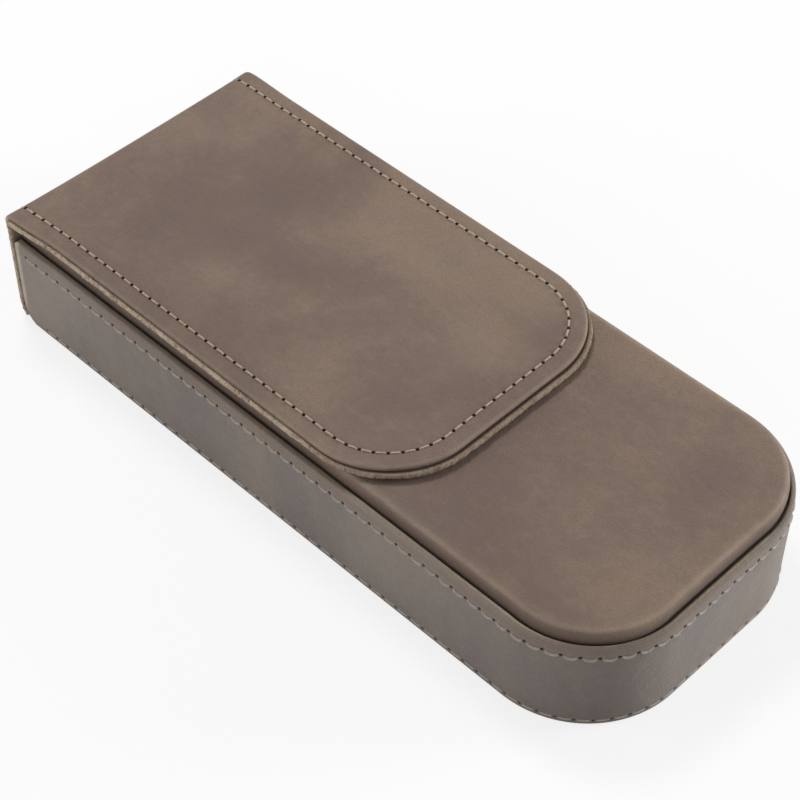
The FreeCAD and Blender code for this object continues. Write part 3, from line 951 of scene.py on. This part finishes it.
def makeStrap():
    look = strapLook
    path = insetOutline(strapOutline, look["stitchInset"])
    length = outlineLength(path)
    hole = look["holeRadius"]
    line = look["stitchInset"]
    columns, holes = stitchColumns(length, look["pitch"], look["foldEnd"] + look["firstHole"], hole)
    outerRows = [
        # painted shade along the lower edge, between the plies
        (0.26 * mm, -1.38 * mm, -0.35),
        (0.16 * mm, -1.18 * mm, -0.25),
        (0.04 * mm, -0.92 * mm, -0.15),
        # the rounding: a rubbed edge with a painted highlight
        (0.0, -0.68 * mm, 0.06),
        (0.07 * mm, -0.4 * mm, 0.2),
        (0.26 * mm, -0.16 * mm, 0.22),
        (0.56 * mm, -0.04 * mm, 0.1),
        (0.95 * mm, 0.0, 0),
        (1.9 * mm, 0.0, 0),
        (line - 2.2 * hole, -0.01 * mm, 0),
        (line - hole, -0.05 * mm, -0.05),
        (line, -0.07 * mm, -0.1),
        (line + hole, -0.05 * mm, -0.05),
        (line + 2.2 * hole, -0.01 * mm, 0),
        (line + 3.2 * mm, 0.0, 0),
    ]
    stitchRow = [row[0] for row in outerRows].index(line)

    def punch(bm, corner):
        punchHoles(
            bm, corner, columns, holes, stitchRow, hole, Vector((0, 0, -look["holeDepth"])),
            Vector((0, 1, 0)),
        )

    bm = makePly(outerRows, columns, strapOutline, line, -look["outerPly"], punch)
    wearAndPaintedLight = bm.verts.layers.float["wearAndPaintedLight"]
    for vert in bm.verts:
        if vert.co.x < look["foldEnd"] and abs(vert.co.y) > strapOutline["halfWidth"] - 0.2 * mm:
            raw = softStep((look["foldEnd"] - vert.co.x) / (3 * mm))  # left raw beside the case's end
            # pale raw edge above, painted shade between the plies below
            vert[wearAndPaintedLight] = 0.9 * raw if vert.co.z > -1.25 * mm else -0.3
        wave = smoothNoise(vert.co.x, vert.co.y, 3, 30 * mm)
        vert.co = bendStrap(vert.co + Vector((0, 0, 0.05 * mm * wave)))
    finishStrapPiece(
        "strapOuter", bm, [strapLeather, punched],
        ["end_outer_leather", "fold_outer_leather", "flap_outer_leather"],
    )

    # the lining ply stands a little proud of the outer one, and its cut edge is raw
    margin = flapLiningHigh.y - flapHigh.y + look["liningReach"]
    liningOutline = insetOutline(strapOutline, -margin)
    liningOutline["tip"] += look["liningTipReach"]
    fineColumns = evenColumns(outlineLength(liningOutline), 0.3 * mm)
    top = -look["outerPly"] - 0.01 * mm
    deep = look["liningPly"]
    liningRows = [
        # painted shadow beneath the lining's edge, where it meets the panel
        (0.75 * mm, top - deep - 0.02 * mm, -1),
        (0.4 * mm, top - deep + 0.05 * mm, -1),
        (0.12 * mm, top - deep + 0.3 * mm, -0.7),
        (0.0, top - deep * 0.66, 0),
        (0.0, top - deep * 0.45, 0),
        (0.06 * mm, top - deep * 0.2, 0),
        (0.24 * mm, top - 0.04 * mm, 0),
        # painted shade across the top, under the outer ply's edge
        (0.5 * mm, top, -0.05),
        (margin, top, -0.15),
        (margin + 0.2 * mm, top, -0.4),
        (1.6 * mm, top, -1),
    ]
    bm = makePly(liningRows, fineColumns, liningOutline, 0.0, top - deep)
    wearAndPaintedLight = bm.verts.layers.float["wearAndPaintedLight"]
    for vert in bm.verts:
        if vert.co.x < look["foldStart"]:
            vert[wearAndPaintedLight] = max(vert[wearAndPaintedLight], -0.25)
        # painted shade on the cut edge towards the tip
        vert[wearAndPaintedLight] -= 0.42 * nearTip(vert.co.x, "tipShade")
        edge = liningOutline["halfWidth"] - abs(vert.co.y)
        tipEdge = liningOutline["tip"] - vert.co.x
        if min(edge, tipEdge) < 14 * mm:
            rough = smoothNoise(vert.co.x, vert.co.y, vert.co.z * 0.3, 0.45 * mm)
            rough += 0.6 * smoothNoise(vert.co.x, vert.co.y, vert.co.z * 0.3 + 7, 1.3 * mm)
            slow = smoothNoise(vert.co.x, vert.co.y, 9, 6 * mm)
            out = rimDirection(vert.co, liningOutline, 0.45 * mm)
            if out:
                vert.co += out * (rough * 0.2 + slow * 0.12) * mm  # the fibres of the cut
        vert.co = bendStrap(vert.co)
    finishStrapPiece(
        "strapLining", bm, [fuzzyEdge, innerSuede],
        ["end_lining_leather", "fold_lining_leather", "flap_lining_leather"],
    )

    threadLook = {"radius": 0.27 * mm, "sag": 0.0, "rise": look["threadRise"]}

    def onTop(point):
        place, out = alongOutline(path, point.x)
        flat = place + out * -point.y
        fromFold = abs(flat.x - (look["foldStart"] + look["foldEnd"]) / 2)
        pulled = 0.2 * mm * softStep(1.6 - fromFold / (4 * mm))  # drawn into the leather over the fold
        return bendStrap(Vector((flat.x, flat.y, point.z - pulled)))

    def onLining(point):
        place, out = alongOutline(path, point.x + look["pitch"])
        flat = place + out * -point.y
        return bendStrap(Vector((flat.x, flat.y, -look["outerPly"] - deep - point.z * 0.8)))

    bm = makeStitches(holes[:-1], look["pitch"], threadLook, onTop)
    finishStrapPiece("strapStitches", bm, [flapThread], ["end_thread", "flap_thread"])
    away = [h for h in holes[:-2] if min(h, length - h) > look["foldEnd"]]
    bm = makeStitches(away, look["pitch"], threadLook, onLining)
    finishStrapPiece("liningStitches", bm, [flapThread], [])


makeStrap()
print("strap made")


# base, and what the tray is made of

def makePlate(name, outline, low, high, material, body, node, rounding):
    # a flat sheet inside a U, with softened edges
    columns = evenColumns(outlineLength(outline), 1.6 * mm)
    half = [
        (2.0 * mm, 0, 0),
        (rounding, 0, 0),
        (rounding * 0.3, rounding * 0.3, 0.1),
        (0.0, rounding, 0.1),
    ]
    rows = [(inset, low + up, wearAndPaintedLight) for inset, up, wearAndPaintedLight in half]
    rows += [(inset, high - up, wearAndPaintedLight) for inset, up, wearAndPaintedLight in reversed(half)]
    bm, corner = makeStrip(columns, rows)
    layAlong(bm, outline, 0)
    fillInside(bm, corner, columns, 0)
    fillInside(bm, corner, columns, len(rows) - 1)
    closeEnds(bm)
    cutGrid(bm, 8, range(-12, 12), range(-5, 6))
    piece = toObject(name, bm, [material], body)
    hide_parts(node)


def makeBase():
    low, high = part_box("back_panel_leather")
    outline = insetOutline(caseOutline, 1.6 * mm)
    outline["start"] = bandLow.x + 5.2 * mm
    makePlate(
        "basePanel", outline, low.z, low.z + 1.2 * mm, baseLeather, "sleeve", "back_panel_leather",
        0.3 * mm,
    )
    # the sheet's end turned up at the mouth, round the sleeve's lower corner
    bm = bmesh.new()
    bmesh.ops.create_grid(bm, x_segments=12, y_segments=1, size=0.5)
    radius = bandLook["lowerMouthCorner"]
    start = math.radians(24)
    for vert in bm.verts:
        angle = start + (vert.co.x + 0.5) * (math.pi / 2 - start)
        x = bandLow.x + radius - (radius + 0.05 * mm) * math.cos(angle)
        vert.co = Vector((x, vert.co.y * 2 * high.y, radius - radius * math.sin(angle)))
    bmesh.ops.recalc_face_normals(bm, faces=bm.faces[:])
    bm.normal_update()
    outward = bm.faces[:][0].normal.x < 0
    bmesh.ops.solidify(bm, geom=bm.faces[:], thickness=(1 if outward else -1) * 1.0 * mm)
    bmesh.ops.translate(bm, verts=bm.verts[:], vec=(0, 0, 0.004 * mm))
    lip = toObject("baseMouthEdge", bm, [baseLeather], "sleeve")


def upperEdges(bm, top):
    return [e for e in bm.edges if all(v.co.z > top - 1 * mm for v in e.verts)]


def makeTray():
    wall = {"inset": 4.3 * mm, "thickness": 2.4 * mm, "round": 1.0 * mm}
    outline = dict(caseOutline, start=wallLow.x)
    low = wallLow.z
    top = wallHigh.z
    outer = wall["inset"]
    inner = outer + wall["thickness"]
    rows = [(inner, low, 0), (outer, low, 0), (outer, top - 5 * mm, 0), (outer, top - wall["round"], 0)]
    middle = (outer + inner) / 2
    reach = wall["thickness"] / 2
    for step in range(1, 8):
        angle = math.pi * step / 8
        height = top - wall["round"] * (1 - math.sin(angle))
        rows.append((middle - reach * math.cos(angle), height, 0.12))
    rows += [(inner, top - wall["round"], 0), (inner, top - 5 * mm, 0), (inner, low, 0)]
    columns = evenColumns(outlineLength(insetOutline(outline, inner)), 1.6 * mm)
    bm, corner = makeStrip(columns, rows)
    bmesh.ops.remove_doubles(bm, verts=bm.verts[:], dist=1e-7)
    closeEnds(bm)
    layAlong(bm, outline, inner)
    piece = toObject("trayWall", bm, [trayLeather], "drawer")
    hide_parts("tray_wall_leather")

    frontLow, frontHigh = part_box("tray_front_lining")
    bm = makeBox(frontLow, frontHigh)
    roundEdges(bm, upperEdges(bm, frontHigh.z), 0.7 * mm, 4)
    piece = toObject("trayFront", bm, [trayLeather], "drawer")
    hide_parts("tray_front_lining")

    bottomLow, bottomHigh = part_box("tray_bottom_leather")
    outline = insetOutline(caseOutline, 4.3 * mm)
    outline["start"] = bottomLow.x
    makePlate(
        "trayBottom", outline, bottomLow.z, bottomHigh.z, trayLeather, "drawer", "tray_bottom_leather",
        0.18 * mm,
    )

    for index in (1, 2):
        low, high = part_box(f"slot_divider_{index}")
        bm = makeBox(low, high)
        lengthwise = [e for e in bm.edges if abs(e.verts[0].co.x - e.verts[1].co.x) > 1 * mm]
        bmesh.ops.subdivide_edges(bm, edges=lengthwise, cuts=60, use_grid_fill=True)
        upper = [e for e in upperEdges(bm, high.z) if abs(e.verts[0].co.y - e.verts[1].co.y) < 1e-6]
        roundEdges(bm, upper, (high.y - low.y) * 0.48, 5)
        piece = toObject(f"slotDivider.{index}", bm, [innerSuede], "drawer")
        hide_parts(f"slot_divider_{index}")


# trough is the radius that a pen lies in, floor what is left under it
cradleLook = {"trough": 9.6 * mm, "floor": 1.5 * mm, "inset": 6.7 * mm, "softEdge": 0.8 * mm}


def cradleHeight(fromMiddle, halfWidth, low, high):
    look = cradleLook
    centre = low + look["floor"] + look["trough"]
    inside = look["trough"] ** 2 - fromMiddle ** 2
    height = high if inside <= 0 else min(high, centre - math.sqrt(inside))
    toWall = halfWidth - abs(fromMiddle)
    if toWall < look["softEdge"]:
        height -= (1 - toWall / look["softEdge"]) ** 2 * 0.5 * mm
    return height


def makeCradle(index):
    low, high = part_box(f"pen_cradle_{index}")
    inside = insetOutline(caseOutline, cradleLook["inset"])
    bend = inside["tip"] - inside["radius"]
    tipHalf = inside["halfWidth"] - inside["radius"]
    middle = (low.y + high.y) / 2
    bm = bmesh.new()
    bmesh.ops.create_grid(bm, x_segments=90, y_segments=26, size=0.5)
    for vert in bm.verts:
        x = low.x + (vert.co.x + 0.5) * (high.x - low.x)
        room = inside["halfWidth"]
        if x > bend:
            room = tipHalf + math.sqrt(max(0.0, inside["radius"] ** 2 - (x - bend) ** 2))
        right = max(low.y, -room)
        left = min(high.y, room)
        y = right + (vert.co.y + 0.5) * (left - right)
        fromMiddle = y - middle
        height = cradleHeight(fromMiddle, (high.y - low.y) / 2, low.z, high.z)
        height += 0.12 * mm * smoothNoise(x, y, index, 9 * mm)
        vert.co = Vector((x, y, min(height, high.z)))
    closeBelow(bm, low.z, 0)
    piece = toObject(f"penCradle.{index}", bm, [innerSuede], "drawer", 60)
    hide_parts(f"pen_cradle_{index}")


makeBase()
makeTray()
for index in (1, 2, 3):
    makeCradle(index)
print("base and tray made")


# what stays as the frame made it

keptLooks = (
    (boardFibre, (
        "side_stiffener", "front_panel_board", "back_panel_board", "tray_floor_board",
        "tray_wall_board", "tray_front_board",
    )),
    (innerSuede, ("side_lining", "front_panel_lining", "back_panel_lining")),
    (magnetSteel, ("panel_magnets", "flap_magnets")),
)
for material, nodes in keptLooks:
    for node in nodes:
        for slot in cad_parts[node].material_slots:
            slot.material = material
print("frame pieces finished")


# floor, light and camera

cameraLook = {
    "place": Vector((236.494, -240.321, 372.773)) * mm,
    "azimuth": math.radians(44.62),  # from -Y towards +X
    "elevation": math.radians(47.14),
    "roll": math.radians(0.136),
    "lens": 95.056,
}


def makeCamera():
    look = cameraLook
    cosine = math.cos(look["elevation"])
    away = Vector((math.sin(look["azimuth"]), -math.cos(look["azimuth"]), 0))
    back = away * cosine + Vector((0, 0, math.sin(look["elevation"])))
    right = Vector((0, 0, 1)).cross(back).normalized()
    up = back.cross(right)
    data = bpy.data.cameras.new("camera")
    data.lens = look["lens"]
    data.sensor_width = 36
    data.clip_start = 0.01
    data.clip_end = 50
    camera = addObject("camera", data)
    turn = Matrix((right, up, back)).transposed().to_4x4() @ Matrix.Rotation(look["roll"], 4, "Z")
    camera.matrix_world = Matrix.Translation(look["place"]) @ turn
    bpy.context.scene.camera = camera


def makeFloor():
    material, tree, shader = newMaterial("paleFloor")
    setInputs(tree, shader, {
        "Base Color": (0.88, 0.88, 0.88, 1),
        "Roughness": 0.9,
        "Specular IOR Level": 0.1,
    })
    glow = addNode(tree, "Emission", Color=(1, 1, 1, 1), Strength=1.0)
    rays = addNode(tree, "LightPath").outputs
    share = math2(tree, "MULTIPLY", rays["Is Camera Ray"], 0.8)
    mix = addNode(tree, "MixShader")
    setInputs(tree, mix, {0: share, 1: shader.outputs["BSDF"], 2: glow.outputs["Emission"]})
    setInputs(tree, tree.nodes["Material Output"], {"Surface": mix.outputs["Shader"]})
    bm = bmesh.new()
    bmesh.ops.create_grid(bm, x_segments=1, y_segments=1, size=6)
    mesh = bpy.data.meshes.new("floor")
    bm.to_mesh(mesh)
    bm.free()
    mesh.materials.append(material)
    addObject("floor", mesh)


def makeLamp(name, place, size, power):
    # a round lamp that points at the case
    data = bpy.data.lights.new(name, "AREA")
    data.shape = "DISK"
    data.size = size
    data.energy = power
    lamp = addObject(name, data)
    lamp.location = place
    lamp.rotation_euler = (-Vector(place)).to_track_quat("-Z", "Y").to_euler()


def makeLight():
    scene = bpy.context.scene
    world = bpy.data.worlds.new("studio")
    scene.world = world
    world.use_nodes = True
    tree = world.node_tree
    rays = addNode(tree, "LightPath").outputs
    seen = math2(tree, "MAXIMUM", rays["Is Camera Ray"], rays["Is Glossy Ray"])
    seen = math2(tree, "MAXIMUM", seen, rays["Is Transmission Ray"])
    strength = rangeOf(tree, seen, 0, 1, 0.28, 1.0)
    setInputs(tree, tree.nodes["Background"], {"Color": (1, 1, 1, 1), "Strength": strength})
    makeLamp("key", (-0.42, 0.15, 0.9), 0.3, 4.64)
    makeLamp("left", (-0.7, -0.8, 0.35), 0.6, 4.3)
    makeLamp("right", (0.62, 0.8, 0.25), 0.45, 9.2)
    makeLamp("front", (0.6, -0.8, 0.45), 0.9, 1.9)
    scene.view_settings.view_transform = "Standard"


makeCamera()
makeFloor()
makeLight()

print("done")
